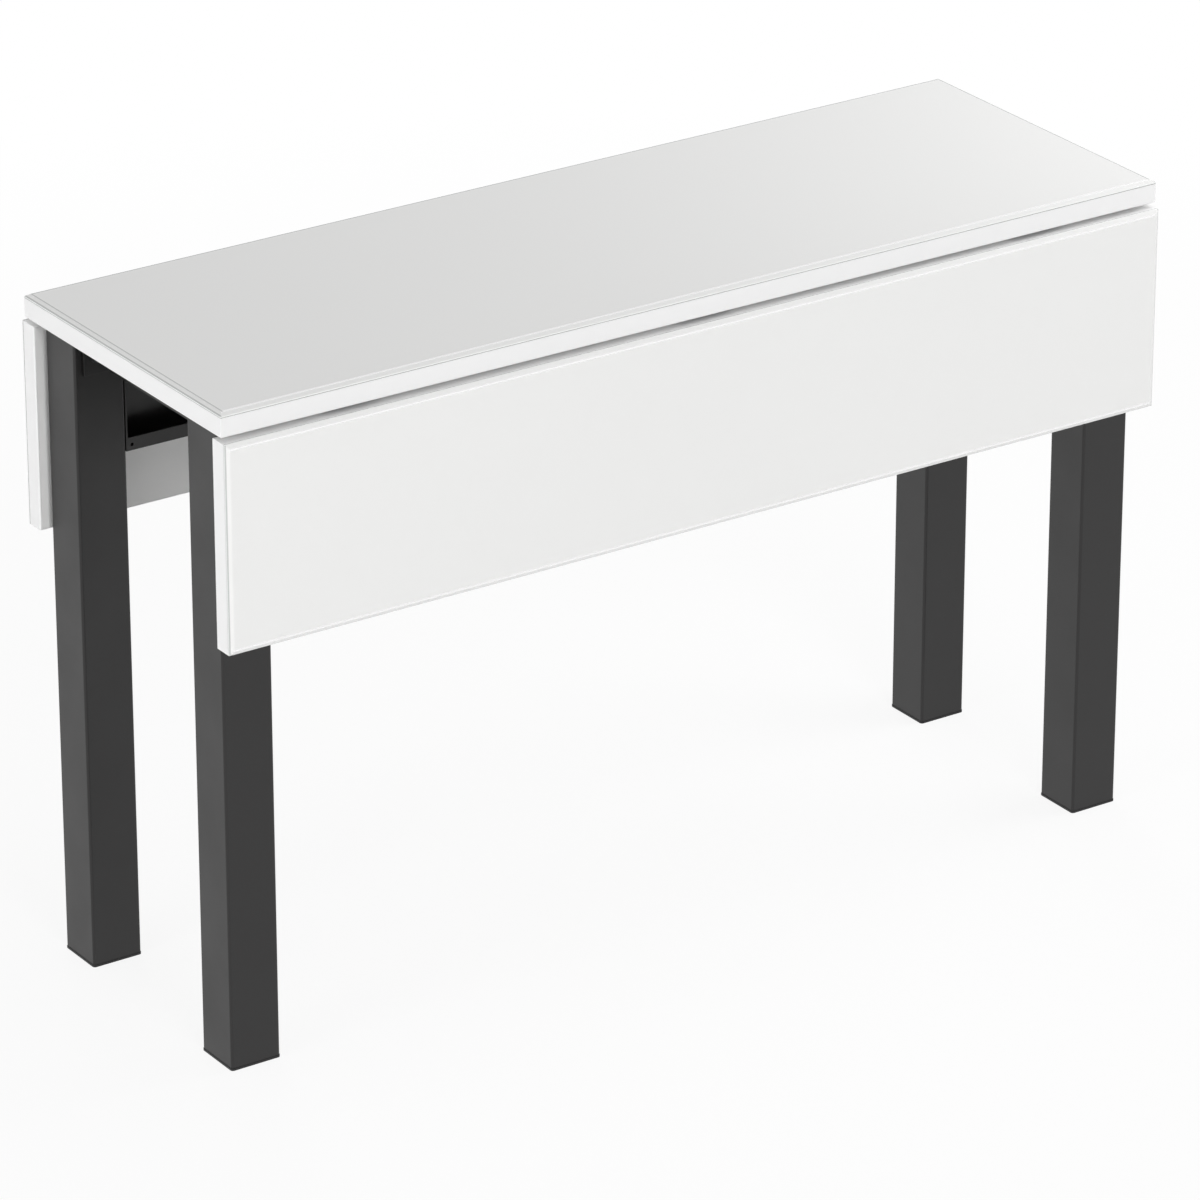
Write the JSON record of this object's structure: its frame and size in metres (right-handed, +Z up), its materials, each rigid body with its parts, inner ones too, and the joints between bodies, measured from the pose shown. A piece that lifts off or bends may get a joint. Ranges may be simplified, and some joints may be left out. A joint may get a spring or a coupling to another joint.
{
  "type": "drop-leaf table",
  "caption": "Long narrow table with a glass-topped centre on square steel legs and hinged glass-faced leaves at front and rear, each held up by folding brackets.",
  "frame": {"origin": "on the floor under the middle of the table", "axes": "+X along the table to the right, -Y the front, +Z up"},
  "size_m": [1.2, 0.418, 0.765],
  "materials": {
    "laminate_board": "white melamine laminate on chipboard",
    "edge_banding": "white edge banding, satin",
    "painted_glass": "tempered glass painted white on its back",
    "graphite_paint": "fine matt graphite powder coat",
    "black_plastic": "moulded black plastic",
    "zinc_plated_steel": "zinc-plated pressed steel",
    "black_rubber": "matt rubber"
  },
  "bodies": {
    "frame": {"centre_board": "laminate_board", "centre_edge_band": "edge_banding", "centre_glass": "painted_glass", "leg_front_left": "graphite_paint", "leg_plate_front_left": "graphite_paint", "foot_cap_front_left": "black_plastic", "front_left_guide_channel": "zinc_plated_steel", "leg_front_right": "graphite_paint", "leg_plate_front_right": "graphite_paint", "foot_cap_front_right": "black_plastic", "front_right_guide_channel": "zinc_plated_steel", "leg_rear_left": "graphite_paint", "leg_plate_rear_left": "graphite_paint", "foot_cap_rear_left": "black_plastic", "rear_left_guide_channel": "zinc_plated_steel", "leg_rear_right": "graphite_paint", "leg_plate_rear_right": "graphite_paint", "foot_cap_rear_right": "black_plastic", "rear_right_guide_channel": "zinc_plated_steel", "front_apron": "graphite_paint", "rear_apron": "graphite_paint", "left_end_rail": "graphite_paint", "right_end_rail": "graphite_paint", "frame_bolts": "zinc_plated_steel", "frame_weld_nuts": "zinc_plated_steel", "top_fixing_screws": "zinc_plated_steel", "front_hinge_top_plates": "zinc_plated_steel", "rear_hinge_top_plates": "zinc_plated_steel", "front_hinge_pins": "zinc_plated_steel", "rear_hinge_pins": "zinc_plated_steel", "hinge_top_screws": "zinc_plated_steel", "guide_channel_bolts": "zinc_plated_steel"},
    "front_leaf": {"front_leaf_board": "laminate_board", "front_leaf_edge_band": "edge_banding", "front_leaf_glass": "painted_glass", "front_hinge_leaf_plates": "zinc_plated_steel", "front_leaf_screws": "zinc_plated_steel", "front_left_leaf_bracket": "zinc_plated_steel", "front_right_leaf_bracket": "zinc_plated_steel", "front_leaf_buffers": "black_rubber"},
    "rear_leaf": {"rear_leaf_board": "laminate_board", "rear_leaf_edge_band": "edge_banding", "rear_leaf_glass": "painted_glass", "rear_hinge_leaf_plates": "zinc_plated_steel", "rear_leaf_screws": "zinc_plated_steel", "rear_left_leaf_bracket": "zinc_plated_steel", "rear_right_leaf_bracket": "zinc_plated_steel", "rear_leaf_buffers": "black_rubber"},
    "front_left_support": {"front_left_strut": "zinc_plated_steel", "front_left_strut_pins": "zinc_plated_steel"},
    "front_right_support": {"front_right_strut": "zinc_plated_steel", "front_right_strut_pins": "zinc_plated_steel"},
    "rear_left_support": {"rear_left_strut": "zinc_plated_steel", "rear_left_strut_pins": "zinc_plated_steel"},
    "rear_right_support": {"rear_right_strut": "zinc_plated_steel", "rear_right_strut_pins": "zinc_plated_steel"}
  },
  "joints": [
    {"name": "front_leaf_hinge", "type": "hinge", "parent": "frame", "child": "front_leaf", "pos_m": [0, -0.19, 0.746], "axis": [-1, 0, 0], "range_deg": [0, 90]},
    {"name": "front_left_strut_pivot", "type": "hinge", "parent": "front_leaf", "child": "front_left_support", "pos_m": [-0.3, -0.169, 0.666], "axis": [1, 0, 0], "range_deg": [0, 147.52]},
    {"name": "front_right_strut_pivot", "type": "hinge", "parent": "front_leaf", "child": "front_right_support", "pos_m": [0.3, -0.169, 0.666], "axis": [1, 0, 0], "range_deg": [0, 147.52]},
    {"name": "rear_leaf_hinge", "type": "hinge", "parent": "frame", "child": "rear_leaf", "pos_m": [0, 0.19, 0.746], "axis": [1, 0, 0], "range_deg": [0, 90]},
    {"name": "rear_left_strut_pivot", "type": "hinge", "parent": "rear_leaf", "child": "rear_left_support", "pos_m": [-0.3, 0.169, 0.666], "axis": [-1, 0, 0], "range_deg": [0, 147.52]},
    {"name": "rear_right_strut_pivot", "type": "hinge", "parent": "rear_leaf", "child": "rear_right_support", "pos_m": [0.3, 0.169, 0.666], "axis": [-1, 0, 0], "range_deg": [0, 147.52]}
  ],
  "couplings": [
    {"joint": "front_left_strut_pivot", "follows": "front_leaf_hinge", "ratio": 1.639},
    {"joint": "front_right_strut_pivot", "follows": "front_leaf_hinge", "ratio": 1.639},
    {"joint": "rear_left_strut_pivot", "follows": "rear_leaf_hinge", "ratio": 1.639},
    {"joint": "rear_right_strut_pivot", "follows": "rear_leaf_hinge", "ratio": 1.639}
  ]
}
